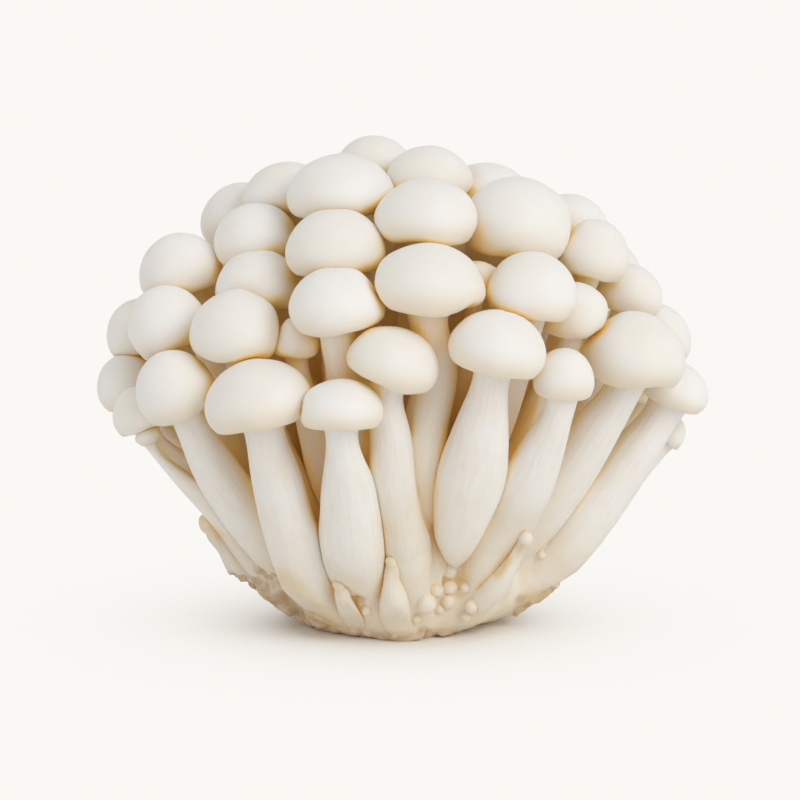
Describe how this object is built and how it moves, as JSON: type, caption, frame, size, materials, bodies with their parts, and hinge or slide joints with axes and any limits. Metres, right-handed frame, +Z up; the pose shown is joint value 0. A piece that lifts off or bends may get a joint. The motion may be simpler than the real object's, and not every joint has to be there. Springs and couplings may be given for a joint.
{
  "type": "cultivated mushroom bunch",
  "caption": "Bunch of white shimeji mushrooms: small domed caps on fanned stems that grow from one fused butt, standing on its flat cut base.",
  "frame": {"origin": "middle of the butt's flat cut face, which the bunch stands on", "axes": "+Z up, out of the cut face through the middle of the bunch; +X to the right and -Y towards the viewer on the bunch's fuller side"},
  "size_m": [0.108, 0.0886, 0.0872],
  "materials": {
    "mushroom_flesh": "matte",
    "butt_mycelium": "matte"
  },
  "bodies": {
    "root": {"butt": "butt_mycelium", "front_low_1": "mushroom_flesh", "front_low_2": "mushroom_flesh", "front_low_3": "mushroom_flesh", "front_low_4": "mushroom_flesh", "front_low_5": "mushroom_flesh", "front_low_6": "mushroom_flesh", "front_low_7": "mushroom_flesh", "front_low_8": "mushroom_flesh", "front_mid_1": "mushroom_flesh", "front_mid_2": "mushroom_flesh", "front_mid_3": "mushroom_flesh", "front_mid_4": "mushroom_flesh", "front_mid_5": "mushroom_flesh", "front_mid_6": "mushroom_flesh", "front_mid_7": "mushroom_flesh", "left_1": "mushroom_flesh", "left_2": "mushroom_flesh", "left_3": "mushroom_flesh", "left_4": "mushroom_flesh", "left_5": "mushroom_flesh", "left_6": "mushroom_flesh", "right_1": "mushroom_flesh", "right_2": "mushroom_flesh", "right_3": "mushroom_flesh", "right_4": "mushroom_flesh", "right_5": "mushroom_flesh", "right_6": "mushroom_flesh", "upper_1": "mushroom_flesh", "upper_2": "mushroom_flesh", "upper_3": "mushroom_flesh", "upper_4": "mushroom_flesh", "upper_5": "mushroom_flesh", "upper_6": "mushroom_flesh", "upper_7": "mushroom_flesh", "crown_1": "mushroom_flesh", "crown_2": "mushroom_flesh", "crown_3": "mushroom_flesh", "crown_4": "mushroom_flesh", "crown_5": "mushroom_flesh", "crown_6": "mushroom_flesh", "crown_7": "mushroom_flesh", "back_upper_1": "mushroom_flesh", "back_upper_2": "mushroom_flesh", "back_upper_3": "mushroom_flesh", "back_upper_4": "mushroom_flesh", "back_upper_5": "mushroom_flesh", "back_mid_1": "mushroom_flesh", "back_mid_2": "mushroom_flesh", "back_mid_3": "mushroom_flesh", "back_mid_4": "mushroom_flesh", "back_mid_5": "mushroom_flesh", "back_low_1": "mushroom_flesh", "back_low_2": "mushroom_flesh", "back_low_3": "mushroom_flesh", "back_low_4": "mushroom_flesh", "pin_1": "mushroom_flesh", "pin_2": "mushroom_flesh", "pin_3": "mushroom_flesh", "pin_4": "mushroom_flesh"}
  },
  "joints": []
}
